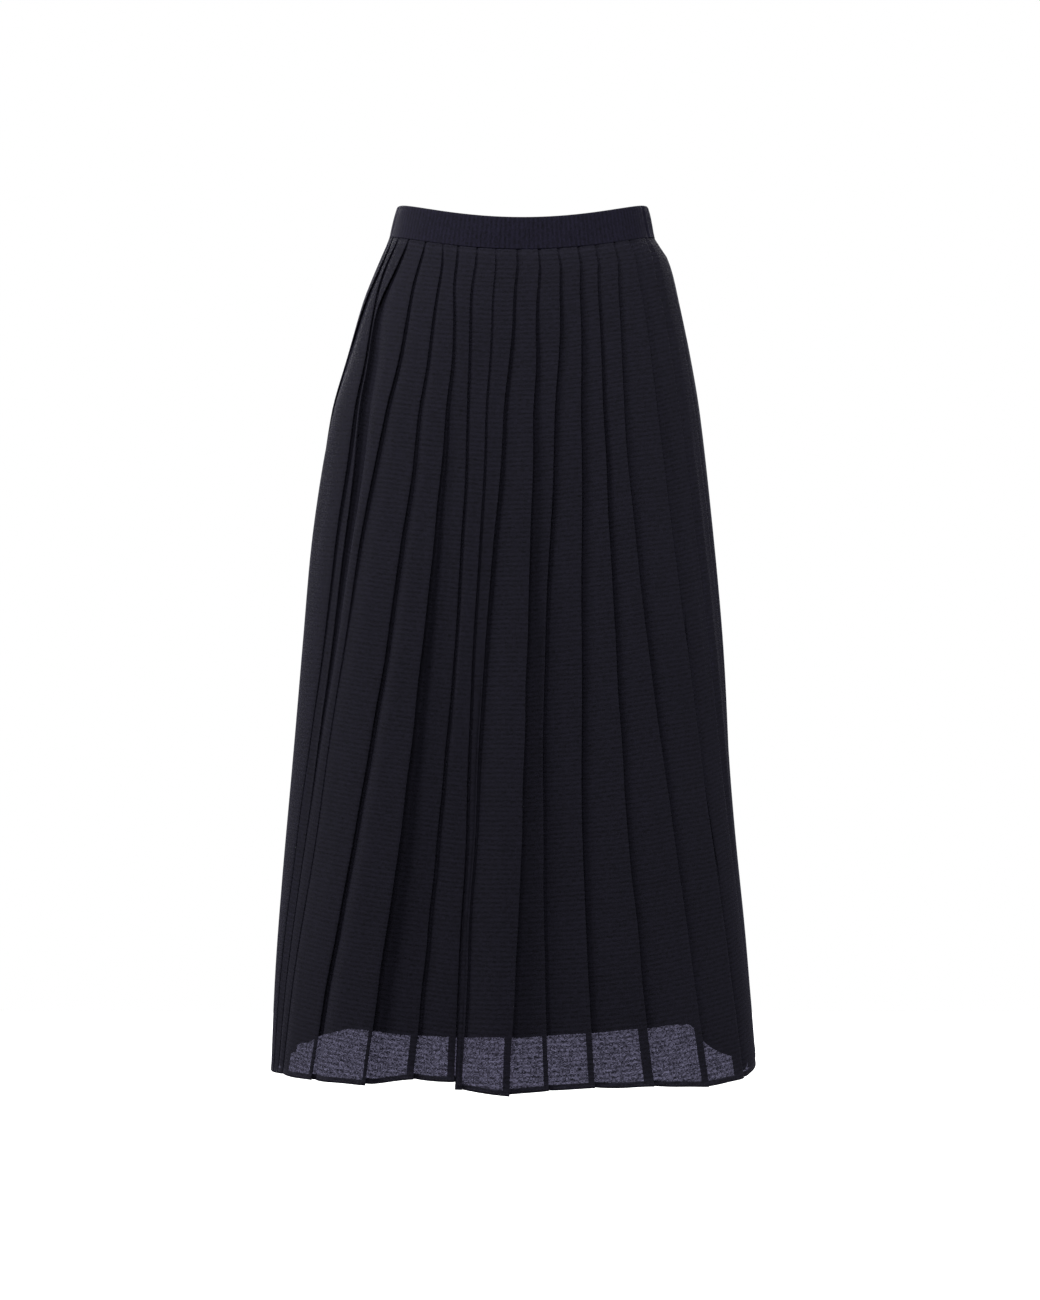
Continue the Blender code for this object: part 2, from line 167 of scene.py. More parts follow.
backHollows = (1.6, 2.4, 4, 5, 7, 8.5, 10, 10)
backGrooves = (0.8, 1.5, 2, 2, 2, 2, 2, 1.5)
backRises = (0.3, 0.35, 0.5, 0.6, 0.7, 0.8, 0.8, 0.8)
backFolds = (  # shares of the hem's width and of the depth, stand low down, overlap, drop
    (0.8, 0.6, 0, 6.0, 30), (1.0, 0.8, 0, 5.0, 34), (1.2, 1.1, 2, 7.0, 36), (0.9, 0.9, -4, 5.0, 35),
    (1.1, 1.1, 0, 6.0, 37), (0.8, 0.6, 0, 8.0, 36), (1.2, 1.0, 3, 5.0, 38), (1.0, 0.9, -5, 6.0, 37),
    (1.3, 1.1, 2, 5.0, 36), (0.8, 0.7, 0, 7.0, 38), (1.1, 1.0, -3, 6.0, 36), (0.9, 0.6, 0, 5.0, 37),
    (1.2, 1.1, 3, 6.0, 35), (0.9, 0.9, -4, 7.0, 33), (1.1, 1.0, 0, 5.0, 25), (0.9, 0.6, 0, 6.0, 13),
)


def ease(start, end, value):
    share = min(max((value - start) / (end - start), 0.0), 1.0)
    return share * share * (3.0 - 2.0 * share)


def mix(first, second, share):
    return first + (second - first) * share


def downSkirt(pair, level):  # a size given at the seam and at the hem
    return mix(*pair, (level - form["seam"]) / (form["hem"] - form["seam"]))


def through(levels, values, level):  # a smooth curve through values at falling levels
    last = len(levels) - 2
    index = 0
    while index < last and level < levels[index + 1]:
        index += 1

    def slope(knot):
        low, high = max(knot - 1, 0), min(knot + 1, len(levels) - 1)
        return (values[high] - values[low]) / (levels[high] - levels[low])

    width = levels[index + 1] - levels[index]
    t = min(max((level - levels[index]) / width, 0.0), 1.0)
    return (
        (2 * t**3 - 3 * t**2 + 1) * values[index]
        + (t**3 - 2 * t**2 + t) * width * slope(index)
        + (3 * t**2 - 2 * t**3) * values[index + 1]
        + (t**3 - t**2) * width * slope(index + 1)
    )


sectionColumns = list(zip(*sections))


def outline(level):  # centre, half width, front depth and back depth of the oval
    return [through(sectionColumns[0], column, level) for column in sectionColumns[1:]]


def ovalPoint(oval, bearing, offset):
    centre, halfWidth, frontDepth, backDepth = oval
    angle = math.radians(bearing)
    depth = frontDepth if math.cos(angle) > 0 else backDepth
    normal = (depth * math.sin(angle), -halfWidth * math.cos(angle))
    length = math.hypot(*normal)
    x = centre + halfWidth * math.sin(angle) + offset * normal[0] / length
    y = -depth * math.cos(angle) + offset * normal[1] / length
    return x, y


def mmPerDegree(oval, bearing):
    angle = math.radians(bearing)
    depth = oval[2] if math.cos(angle) > 0 else oval[3]
    return math.radians(math.hypot(oval[1] * math.cos(angle), depth * math.sin(angle)))


def rise(level, bearing):  # how far the waist's curve lifts the cloth
    angle = math.radians(bearing)
    rest = 0.0 if math.cos(angle) > 0 else form["backRise"]
    atWaist = mix(rest, form["sideRise"], math.sin(angle) ** 2)
    return atWaist * ease(form["riseEnds"], form["seam"], level)


def parted(level, shares, start, end):  # where shares of the oval's length reach
    oval = outline(level)
    steps = 180
    lengths = [0.0]
    for step in range(steps):
        middle = mix(start, end, (step + 0.5) / steps)
        lengths.append(lengths[-1] + mmPerDegree(oval, middle))
    passed = np.cumsum(shares) / sum(shares) * lengths[-1]
    return list(np.interp(passed, lengths, np.arange(steps + 1) / steps))


class Wander:  # a smooth, seeded wandering between about -1 and 1
    def __init__(self, seed, longest, shortest):
        dice = random.Random(seed)
        self.waves = [
            (math.tau / dice.uniform(shortest, longest), dice.uniform(0, math.tau))
            for _ in range(4)
        ]

    def __call__(self, value):
        return sum(math.sin(rate * value + turn) for rate, turn in self.waves) / 2.2


pleatSizes = {
    "clothPerPleat": (48.0, 66.0),  # at the seam and at the hem
    "layerPitch": (0.35, 0.75),  # where a fold is pressed flat and where it stands off
    "edgeLift": (0.05, 0.5),  # likewise, how far a panel's edge lifts at its own fold
    "standsOff": (0.9, 2.2),  # between these depths a fold goes from pressed to standing off
    "flatUntil": -60.0,  # above this an underlay is as wide as its cloth allows
    "openFrom": -520.0,  # and below this as wide as its fold's overlap
    "emerge": 1.3,  # a panel comes out this far past the fold that covers it
    "minUnderlay": 6.0,
    "minOverlap": 2.0,
    "stepRoom": (4.5, 1.4),  # what an overlap leaves of its panel, at the seam and low down
    "outerLayer": -0.2,  # where the outer layer lies, from the oval
    "foldTurn": 0.25,  # a fold's cloth has turned under this far behind its edge
    "pressed": (0.5, 14.0),  # a fold's depth at the band, and how far below it that ends
    "sideShare": 0.8,  # of the hem's width, for the panel that ends at the left side's fold
    "backSpread": 1.25,  # a larger power lets the back's folds take their own widths later
    "grooveWidth": (1.5, 2.4),  # at the seam and at the hem
    "cloth": 0.3,  # thickness
    "turnedHem": 5.2,
    "turnedHemCloth": 0.6,
    "hemEdge": 0.55,  # of that thickness, at the very edge
    "flutter": (0.5, -700.0),  # how far the hem's edge waves up and down, and where that starts
    "foldWander": (0.45, -140.0),  # sideways wander of a fold's edge, and where it is full
    "panelSwell": 0.5,  # how far a panel bows out between its folds
    "rowStep": 8.5,
    "panelPoints": 15,
    "foldPoints": 3,
    "layerPoints": 1,
    "mapStep": 90.0,  # from pleat to pleat across the cloth's map
}
Pleat = namedtuple("Pleat", "index bearing overlap stand hollow groove layer lift rises drop")


def backFold(depth, stand, overlap, drop):  # it stands off more and more from -170 to -600
    stands = tuple(stand * ease(-170, -600, level) for level in foldLevels)
    hollows = tuple(depth * hollow - off for hollow, off in zip(backHollows, stands))
    grooves = tuple(depth * groove for groove in backGrooves)
    return Fold("", (), stands, hollows, grooves, flat, backRises, overlap, drop)


allFolds = frontFolds + tuple(backFold(*row[1:]) for row in backFolds) + (leftSideFold,)
# A fold's edge and a panel's swell wander in waves of these greatest and least lengths.
foldWander = [Wander(f"fold{index}", 260, 70) for index in range(len(allFolds))]
panelWander = [Wander(f"panel{index}", 520, 160) for index in range(len(allFolds))]
backStart = frontFolds[-1].bearings
backEnd = tuple(bearing + 360 for bearing in leftSideFold.bearings)
backShares = [row[0] for row in backFolds] + [pleatSizes["sideShare"]]
backAtSeam = parted(form["seam"], [1.0] * len(backShares), backStart[0], backEnd[0])
backAtHem = parted(form["hem"], backShares, backStart[-1], backEnd[-1])


def pleatAt(index, start, end, level, oval):  # the pleat whose own fold is at end
    size = pleatSizes
    fold = allFolds[index - 1]
    width = (end - start) * mmPerDegree(oval, (start + end) / 2)
    underlay = max((downSkirt(size["clothPerPleat"], level) - width) / 2, size["minUnderlay"])
    opened = ease(size["flatUntil"], size["openFrom"], level)
    overlap = mix(underlay, fold.overlap, opened)
    overlap = max(min(overlap, width - mix(*size["stepRoom"], opened)), size["minOverlap"])
    stand, hollow, groove, rest, out = (through(foldLevels, table, level) for table in fold[2:7])
    atBand, below = size["pressed"]
    pressed = mix(atBand, 1.0, ease(form["seam"], form["seam"] - below, level))
    hollow, groove = hollow * pressed, groove * pressed
    loose = ease(*size["standsOff"], hollow + stand)
    return Pleat(
        index, end, overlap, stand + size["outerLayer"], hollow, groove,
        mix(*size["layerPitch"], loose), mix(*size["edgeLift"], loose), (rest, out), fold.drop,
    )


def pleatsAt(level):
    oval = outline(level)
    bearings = [through(foldLevels, fold.bearings, level) for fold in (leftSideFold,) + frontFolds]
    start, end = bearings[-1], bearings[0] + 360
    spread = max((form["seam"] - level) / (form["seam"] - form["hem"]), 0.0)
    spread = spread ** pleatSizes["backSpread"]
    bearings += [mix(start, end, mix(*at, spread)) for at in zip(backAtSeam, backAtHem)]
    wander, fullAt = pleatSizes["foldWander"]
    loose = ease(form["seam"], fullAt, level) * wander
    for index in range(1, len(bearings)):
        bearings[index] += foldWander[index - 1](level) * loose / mmPerDegree(oval, bearings[index])
    bearings[0] = bearings[-1] - 360
    found = [
        pleatAt(index, *pair, level, oval)
        for index, pair in enumerate(zip(bearings, bearings[1:]), 1)
    ]
    return [found[-1]._replace(index=0, bearing=bearings[0])] + found


def unit(x, y):
    length = math.hypot(x, y)
    return x / length, y / length


def halfTurn(start, end, out, count):  # points of a fold between two layers, a little flattened
    middle = ((start[0] + end[0]) / 2, (start[1] + end[1]) / 2)
    across = (start[0] - middle[0], start[1] - middle[1])
    reach = math.hypot(*across) * 0.85
    turn = []
    for step in range(1, count + 1):
        angle = math.pi * step / (count + 1)
        turn.append(tuple(
            middle[axis] + across[axis] * math.cos(angle) + out[axis] * reach * math.sin(angle)
            for axis in (0, 1)
        ))
    return turn


def evenly(start, end, count):  # points between two others
    shares = [step / (count + 1) for step in range(1, count + 1)]
    return [tuple(mix(a, b, share) for a, b in zip(start, end)) for share in shares]


def turnsOf(each):
    # The cloth of a pleat as (distance from the outer fold, offset from the outline): from
    # the fold down its underlay, and from the inner fold out to where the next panel starts.
    size = pleatSizes
    layer = each.layer
    fold = (0.0, each.stand + each.lift)
    turned = (-size["foldTurn"], fold[1] - layer)
    start = min(-each.hollow - each.groove, turned[1] - layer)
    far = (-each.overlap, mix(turned[1], start + layer, 0.9))
    back = unit(far[0] - turned[0], far[1] - turned[1])
    under = (far[0] - back[1] * -layer, far[1] + back[0] * layer)
    emerged = (size["emerge"], start)
    turning = [fold] + halfTurn(fold, turned, (1.0, 0.0), size["foldPoints"]) + [turned]
    turning += evenly(turned, far, size["layerPoints"]) + [far]
    returning = halfTurn(far, under, back, size["foldPoints"]) + [under]
    returning += evenly(under, emerged, size["layerPoints"]) + [emerged]
    return turning, returning


softSizes = {
    "fades": (90, 120),  # a soft fold comes in and ends over these lengths
    "fullFrom": -160.0,  # the cloth stays flat just under the band
    "swells": (0.6, 0.7),  # a panel's share of panelSwell, and how much that wanders
    "narrow": 1.6,  # how steep its sides are
}
SoftFold = namedtuple("SoftFold", "pleat share top bottom width height")
softFolds = (  # soft ridges and troughs that run down a panel, by the pleat they belong to
    SoftFold(1, 0.60, -210, -420, 0.16, -1.0),
    SoftFold(4, 0.35, -420, -800, 0.32, -1.0),
    SoftFold(8, 1.00, -400, -860, 0.38, -2.0),
    SoftFold(12, 0.45, -200, -560, 0.30, 0.7),
    SoftFold(14, 0.40, -260, -640, 0.28, 0.8),
    SoftFold(15, 0.55, -130, -520, 0.26, 1.0),
    SoftFold(16, 0.35, -180, -600, 0.28, 1.4),
    SoftFold(19, 0.50, -220, -700, 0.26, 1.6),
    SoftFold(22, 0.40, -140, -480, 0.30, 1.2),
    SoftFold(25, 0.60, -260, -740, 0.28, 1.8),
    SoftFold(28, 0.45, -200, -620, 0.26, 1.3),
    SoftFold(30, 0.50, -150, -560, 0.28, 1.7),
    SoftFold(32, 0.42, -180, -700, 0.26, 1.5),
)


def softRelief(pleat, share, level):
    even, wander = softSizes["swells"]
    swell = even + wander * panelWander[pleat - 1](level)
    relief = pleatSizes["panelSwell"] * math.sin(math.pi * share) * swell
    fadeIn, fadeOut = softSizes["fades"]
    for each in softFolds:
        if each.pleat == pleat:
            fade = ease(each.top, each.top - fadeIn, level)
            fade *= ease(each.bottom, each.bottom + fadeOut, level)
            away = (share - each.share) / each.width * softSizes["narrow"]
            relief += each.height * fade * math.exp(-(away**2))
    return relief * ease(form["seam"], softSizes["fullFrom"], level)


def panelPoints(start, end, covering, each, level, oval):
    # Points of (bearing, offset, share) across a panel: it comes out from behind a fold,
    # lies flat, and lifts a little at its own fold. They lie closer where it comes out.
    width = (end[0] - start[0]) * mmPerDegree(oval, (end[0] + start[0]) / 2)
    grooveWidth = downSkirt(pleatSizes["grooveWidth"], level)
    low, high = covering.rises
    rooted = start[1] + covering.groove
    count = pleatSizes["panelPoints"]
    points = []
    for step in range(1, count + 1):
        share = step / (count + 1)
        share = mix(share, share**1.8, 1 - share)
        out = math.sin(math.pi / 2 * min(max((share - low) / (high - low), 0.0), 1.0))
        offset = mix(rooted, end[1] - each.lift, out) + each.lift * ease(0.7, 1.0, share)
        offset -= covering.groove * math.exp(-((share * width / grooveWidth) ** 2))
        offset += softRelief(each.index, share, level)
        points.append((mix(start[0], end[0], share), offset, share))
    return points


gatherSizes = {  # ripples under the elastic of the back
    "height": 0.9,
    "longest": 13,  # degrees, as the next two
    "shortest": 4.5,
    "ends": 6.0,
    "levels": (-150.0, -44.0),  # where they start and where they are full
}
gatherWander = Wander("gathers", gatherSizes["longest"], gatherSizes["shortest"])


def gather(bearing, level):
    size, right, left = gatherSizes, form["rightSeam"], form["leftSeam"]
    if not right <= bearing <= left:
        return 0.0
    ends = ease(right, right + size["ends"], bearing) * ease(left, left - size["ends"], bearing)
    return size["height"] * gatherWander(bearing) * ends * ease(*size["levels"], level)


def clothRow(level, first, last):
    # One row of the cloth: x, y, bearing, drop of the hem, the pleat it belongs to, and
    # whether that pleat's cloth starts there.
    oval = outline(level)
    pleats = pleatsAt(level)
    row = []

    def add(bearing, offset, drop, pleat, starts=False):
        offset += gather(bearing % 360 if bearing > 0 else bearing, level)
        row.append([*ovalPoint(oval, bearing, offset), bearing, drop, pleat, starts])

    def addTurns(each, turns, pleat, starts=False):
        for index, (distance, offset) in enumerate(turns):
            bearing = each.bearing + distance / mmPerDegree(oval, each.bearing)
            add(bearing, offset, each.drop, pleat, starts and index == 0)
        return bearing, offset

    for covering, each in zip(pleats[first:last], pleats[first + 1 : last + 1]):
        returning = turnsOf(covering)[1]
        if covering is pleats[first]:
            returning = returning[pleatSizes["foldPoints"]:]
        start = addTurns(covering, returning, each.index, True)
        turning = turnsOf(each)[0]
        end = (each.bearing, turning[0][1])
        for bearing, offset, share in panelPoints(start, end, covering, each, level, oval):
            add(bearing, offset, mix(covering.drop, each.drop, share), each.index)
        addTurns(each, turning, each.index)
    return row


def rowLevels():  # closer together at the turned hem
    top, hem = form["seam"] - form["seamGap"], form["hem"]
    turned = hem + pleatSizes["turnedHem"]
    count = round((top - turned) / pleatSizes["rowStep"])
    levels = [mix(top, turned, step / count) for step in range(count + 1)]
    return levels + [turned - 0.5, mix(turned, hem, 0.55), hem + 0.5, hem]


def addObject(name, data):
    made = bpy.data.objects.new(name, data)
    bpy.context.scene.collection.objects.link(made)
    return made


def shell(name, grid, thickness, across, down, acrossRight, finish, toEdge=None):
    # A closed thin wall round a grid of points, rows running down. across and down are the
    # cloth's own coordinates, and acrossRight is across for the face that ends at a column.
    # toEdge is how far each row lies above the hem, for a finish that asks for it.
    rows, columns = grid.shape[:2]
    normal = np.cross(np.gradient(grid, axis=0), np.gradient(grid, axis=1))
    normal /= np.linalg.norm(normal, axis=2, keepdims=True)
    half = np.broadcast_to(thickness, (rows, columns))[:, :, None] / 2
    points = np.concatenate([grid + normal * half, grid - normal * half]).reshape(-1, 3)
    outer = np.arange(rows * columns).reshape(rows, columns)
    inner = outer + outer.size
    before, after = slice(0, -1), slice(1, None)
    corners = [(before, before), (after, before), (after, after), (before, after)]
    turnedRound = [0, 3, 2, 1]
    outerFaces = np.stack([outer[corner] for corner in corners], -1).reshape(-1, 4)
    innerFaces = (outerFaces + outer.size)[:, turnedRound]
    rimFaces = np.concatenate([
        np.stack([outer[0, :-1], outer[0, 1:], inner[0, 1:], inner[0, :-1]], -1),
        np.stack([inner[-1, :-1], inner[-1, 1:], outer[-1, 1:], outer[-1, :-1]], -1),
        np.stack([outer[:-1, 0], inner[:-1, 0], inner[1:, 0], outer[1:, 0]], -1),
        np.stack([outer[1:, -1], inner[1:, -1], inner[:-1, -1], outer[:-1, -1]], -1),
    ])
    faces = np.concatenate([outerFaces, innerFaces, rimFaces])
    left = np.stack([across, down], -1) * mm
    right = np.stack([acrossRight, down], -1) * mm
    sides = zip(corners, (left, left, right, right))
    outerMap = np.stack([side[corner] for corner, side in sides], 2).reshape(-1, 4, 2)
    rimMap = np.concatenate([left.reshape(-1, 2)] * 2)[rimFaces]

    mesh = bpy.data.meshes.new(name)
    mesh.from_pydata((points * mm).tolist(), [], faces.tolist())
    mesh.polygons.foreach_set("use_smooth", np.arange(len(faces)) < len(outerFaces) * 2)
    cloth = mesh.uv_layers.new(name="clothMap")
    maps = np.concatenate([outerMap, outerMap[:, turnedRound], rimMap])
    cloth.data.foreach_set("uv", maps.ravel())
    mesh.materials.append(finish)
    if toEdge is not None:
        edge = mesh.attributes.new("toEdge", "FLOAT", "POINT")
        edge.data.foreach_set("value", np.tile(np.repeat(toEdge, columns), 2))
    print(name, "has", len(faces), "faces")
    return addObject(name, mesh)


def alongRow(grid, row):  # how far along one row each column lies, the same for all rows
    steps = np.linalg.norm(np.diff(grid[row], axis=0), axis=1)
    return np.repeat(np.r_[0.0, np.cumsum(steps)][None], len(grid), axis=0)


def downColumns(grid):  # how far down its column each point lies
    steps = np.linalg.norm(np.diff(grid, axis=0), axis=2)
    return np.r_[np.zeros((1, grid.shape[1])), np.cumsum(steps, axis=0)]


def acrossPleats(line, pleat, starts):
    # Where each point lies across its own pleat's cloth, from the pleat's outer fold, and
    # the same for the face that ends there, which can belong to the pleat before.
    size = pleatSizes
    steps = np.r_[0.0, np.linalg.norm(np.diff(line[:, :2], axis=0), axis=1)]
    length = np.cumsum(steps)
    # The outer fold is this many points from the end of a pleat's cloth.
    fromEnd = size["foldPoints"] + size["layerPoints"] + 3
    folds = np.array([length[np.nonzero(pleat == number)[0][-fromEnd]] for number in pleat])
    own = length - folds + pleat * size["mapStep"]
    right = own.copy()
    for column in np.nonzero(starts)[0]:
        if column:
            right[column] = own[column - 1] + steps[column]
    return own, right


hemWander = Wander("hem", 60, 9)


def makeSkirtPanel(name, first, last, finish):
    size = pleatSizes
    levels = rowLevels()
    grid, across, acrossRight = [], [], []
    for level in levels:
        row = clothRow(level, first, last)
        hang = ease(form["hemStarts"], form["hem"], level)
        flutter = size["flutter"][0] * ease(size["flutter"][1], form["hem"], level)
        line = np.array([
            (x, y, level + rise(level, bearing) + drop * hang + flutter * hemWander(bearing))
            for x, y, bearing, drop, _, _ in row
        ])
        pleat = np.array([point[4] for point in row])
        starts = np.array([point[5] for point in row])
        own, right = acrossPleats(line, pleat, starts)
        grid.append(line)
        across.append(own)
        acrossRight.append(right)
    grid = np.array(grid)
    toEdge = np.array(levels) - form["hem"]
    turned = toEdge < size["turnedHem"] - 0.2  # all rows below the one where the turning ends
    thickness = np.where(turned, size["turnedHemCloth"], size["cloth"])
    thickness[-1] *= size["hemEdge"]
    piece = shell(
        name, grid, thickness[:, None], np.array(across), downColumns(grid),
        np.array(acrossRight), finish, toEdge,
    )
    return piece, grid


def seamToSeam(start, end, columns):  # bearings that leave half a seam's gap at both ends
    narrowest = outline(form["bandTop"])
    start += form["seamGap"] / 2 / mmPerDegree(narrowest, start)
    end -= form["seamGap"] / 2 / mmPerDegree(narrowest, end)
    return np.linspace(start, end, columns)


bandSizes = {
    "height": 30.0,
    "wall": 3.0,  # from the band's face to its inside
    "proud": 0.3,  # how far its face stands off the oval
    "cloth": 0.5,
    "crown": 0.35,  # how far the band's face swells
    "faceWander": 0.25,  # and how far the front's face wanders
    "frontColumns": 110,
    "backColumns": 396,
    "puckers": 44,
    "puckerHeight": 1.5,
    "puckerHeights": (0.55, 1.15),  # lowest and highest share of it
    "puckerWidths": (0.30, 0.52),  # narrowest and widest share of a pucker's room
    "puckerShift": 0.28,  # shares of that room too: how far its middle can lie off,
    "puckerLean": 0.35,  # and how far it can lean
}
bandWander = Wander("band", 40, 14)
puckerDice = random.Random(44)
puckers = [
    (
        (index + 0.5 + puckerDice.uniform(-bandSizes["puckerShift"], bandSizes["puckerShift"]))
        / bandSizes["puckers"],
        puckerDice.uniform(*bandSizes["puckerHeights"]),
        puckerDice.uniform(*bandSizes["puckerWidths"]),
        puckerDice.uniform(-1, 1),
    )
    for index in range(bandSizes["puckers"])
]


def smoothBand(bearing, share, outside):
    face = outside * math.sin(math.pi * min(share, 1))
    return bandSizes["faceWander"] * bandWander(bearing) * face


def puckered(bearing, share, outside):
    along = (bearing - form["rightSeam"]) / (form["leftSeam"] - form["rightSeam"])
    height = 0.0
    for centre, tall, wide, slant in puckers:
        centre += slant * bandSizes["puckerLean"] * (share - 0.5) / bandSizes["puckers"]
        away = abs(along - centre) * bandSizes["puckers"] / wide
        if away < 1.5:
            height = max(height, tall * math.cos(away / 1.5 * math.pi / 2) ** 2)
    ends = ease(0, 0.012, along) * ease(1, 0.988, along)
    pinch = 0.45 + 0.55 * math.sin(math.pi * min(max(share, 0), 1)) ** 0.7
    return bandSizes["puckerHeight"] * height * ends * pinch * mix(-0.5, 1.0, outside)


def bandProfile():
    # From the inside's lower edge over the top fold to the outside's lower edge, as
    # (offset, share of height, outside).
    size = bandSizes
    outer = size["proud"] - size["cloth"] / 2
    inner = size["proud"] - size["wall"] + size["cloth"] / 2
    reach = (outer - inner) / 2
    top = 1 - reach / size["height"]
    sides = [0, 0.03, 0.08, 0.16, 0.28, 0.4, 0.52, 0.64, 0.76, 0.87, top]
    profile = [(inner, share, 0.0) for share in sides]
    for step in range(1, 6):
        angle = math.pi * step / 6
        profile.append((
            (inner + outer) / 2 - reach * math.cos(angle),
            top + reach / size["height"] * math.sin(angle) * 0.98,
            step / 6,
        ))
    return profile + [(outer, share, 1.0) for share in reversed(sides)]


def makeBand(name, start, end, columns, relief, finish):
    bearings = seamToSeam(start, end, columns)
    grid = []
    for offset, share, outside in bandProfile():
        level = form["bandTop"] - bandSizes["height"] * (1 - share)
        oval = outline(level)
        crown = bandSizes["crown"] * math.sin(math.pi * min(share, 1)) * outside
        row = []
        for bearing in bearings:
            x, y = ovalPoint(oval, bearing, offset + crown + relief(bearing, share, outside))
            row.append((x, y, level + rise(form["seam"], bearing)))
        grid.append(row)
    grid = np.array(grid)
    across = alongRow(grid, -6)  # half way up the outside
    return shell(name, grid, bandSizes["cloth"], across, downColumns(grid), across, finish)


liningSizes = {
    "levels": (-40, -110, -170, -260, -400, -600, -764),
    "inside": (7.2, 10.6, 11.6, 12.6, 14.8, 18.8, 20.5),  # from the outline
    "sideFrom": (52, 72),  # a side starts and is full at these bearings, on both sides alike
    "sideTo": (112, 92),  # and ends and is full at these
    "sideReach": 13.2,  # it comes this much nearer the outline there, below reachFrom
    "reachFrom": -560.0,
    "waves": 9,
    "waveDepth": 5.0,
    "wander": 0.4,
    "cloth": 0.4,
    "turnedHemCloth": 0.8,
    "turnedHemFrom": 0.985,  # share of the way down
    "columns": 150,
    "rows": 70,
    "hem": (  # bearing and level
        (-150, -767), (-120, -770), (-110, -778), (-103, -790), (-95, -800), (-71.5, -806),
        (-70, -779), (-62, -777), (-58.5, -770), (-54.5, -767), (-49, -763), (-45, -761),
        (-25, -765), (0, -765.5), (20, -762), (45, -758), (52, -758), (54, -763), (56, -772),
        (58, -776), (61, -782), (65, -788), (70, -792), (71.5, -808), (75, -807), (80, -805),
        (86, -802), (88, -799), (90, -795), (94, -786), (97, -778), (180, -767),
    ),
}


def liningHem(bearing):
    return float(np.interp((bearing + 150) % 360 - 150, *zip(*liningSizes["hem"])))


def makeLining(name, start, end, finish):
    size = liningSizes
    top, lowest = form["seam"] - form["seamGap"], size["levels"][-1]
    bearings = seamToSeam(start, end, size["columns"])
    hems = [liningHem(bearing) for bearing in bearings]
    soft = Wander(name, 60, 25)
    grid = []
    shares = np.linspace(0, 1, size["rows"])
    for share in shares:
        row = []
        for bearing, hem in zip(bearings, hems):
            level = mix(top, hem, share)
            aside = abs((bearing + 180) % 360 - 180)
            side = ease(*size["sideFrom"], aside) * ease(*size["sideTo"], aside)
            reach = size["sideReach"] * side * ease(size["reachFrom"], lowest, level)
            inside = through(size["levels"], size["inside"], level) - reach
            turns = size["waves"] * (bearing - start) / (end - start)
            wave = size["waveDepth"] * ease(form["seam"], lowest, level) * (1 - side)
            wave *= 0.5 - 0.5 * math.cos(math.tau * turns)
            wander = size["wander"] * soft(bearing + level * 0.03) * ease(-44, -200, level)
            x, y = ovalPoint(outline(level), bearing, -inside - wave + wander)
            row.append((x, y, level + rise(level, bearing) * (1 - ease(0.75, 1, share))))
        grid.append(row)
    grid = np.array(grid)
    across = alongRow(grid, -1)
    turned = shares > size["turnedHemFrom"]
    thickness = np.where(turned, size["turnedHemCloth"], size["cloth"])[:, None]
    return shell(name, grid, thickness, across, downColumns(grid), across, finish)


class Number:  # a shader number: Python arithmetic on it adds Math nodes
    def __init__(self, finish, socket):
        self.finish, self.socket = finish, socket

    def __add__(self, other):
        return self.finish.maths("ADD", self, other)

    def __sub__(self, other):
        return self.finish.maths("SUBTRACT", self, other)

    def __rsub__(self, other):
        return self.finish.maths("SUBTRACT", other, self)

    def __mul__(self, other):
        return self.finish.maths("MULTIPLY", self, other)

    __radd__ = __add__
    __rmul__ = __mul__


class Finish:  # a material being built
    def __init__(self, name):
        self.material = bpy.data.materials.new(name)
        self.material.use_nodes = True
        self.tree = self.material.node_tree
        self.shader = self.tree.nodes["Principled BSDF"]

    def put(self, socket, value):
        if isinstance(value, Number):
            self.tree.links.new(value.socket, socket)
        else:
            socket.default_value = value

    def node(self, kind, settings=None, sockets=None, output=0):
        made = self.tree.nodes.new(kind)
        for key, value in (settings or {}).items():
            setattr(made, key, value)
        for key, value in (sockets or {}).items():
            self.put(made.inputs[key], value)
        return Number(self, made.outputs[output])

    def set(self, **values):  # the shader's own sockets, with _ for a space
        for key, value in values.items():
            self.put(self.shader.inputs[key.replace("_", " ")], value)

    def maths(self, operation, first, second=0.0):
        return self.node("ShaderNodeMath", {"operation": operation}, {0: first, 1: second})

    def smooth(self, value, low, high):
        settings = {"interpolation_type": "SMOOTHSTEP"}
        return self.node("ShaderNodeMapRange", settings, {0: value, 1: low, 2: high})

    def blend(self, share, first, second):
        sockets = {0: share, 6: first, 7: second}
        return self.node("ShaderNodeMix", {"data_type": "RGBA"}, sockets, 2)

    def noise(self, place, size, detail):
        place = self.node("ShaderNodeMapping", None, {"Vector": place, "Scale": (*size, 1)})
        return self.node(
            "ShaderNodeTexNoise", None, {"Vector": place, "Scale": 1.0, "Detail": detail}
        )

    def cells(self, place, size):  # a random value for each thread crossing of a size in mm
        crossing = self.node(
            "ShaderNodeVectorMath", {"operation": "SNAP"},
            {0: place, 1: (size[0] * mm, size[1] * mm, 1)},
        )
        settings = {"noise_dimensions": "2D"}
        return self.node("ShaderNodeTexWhiteNoise", settings, {"Vector": crossing}, "Value")

    def bump(self, height, distance, strength):
        sockets = {"Height": height, "Distance": distance, "Strength": strength}
        return self.node("ShaderNodeBump", None, sockets)


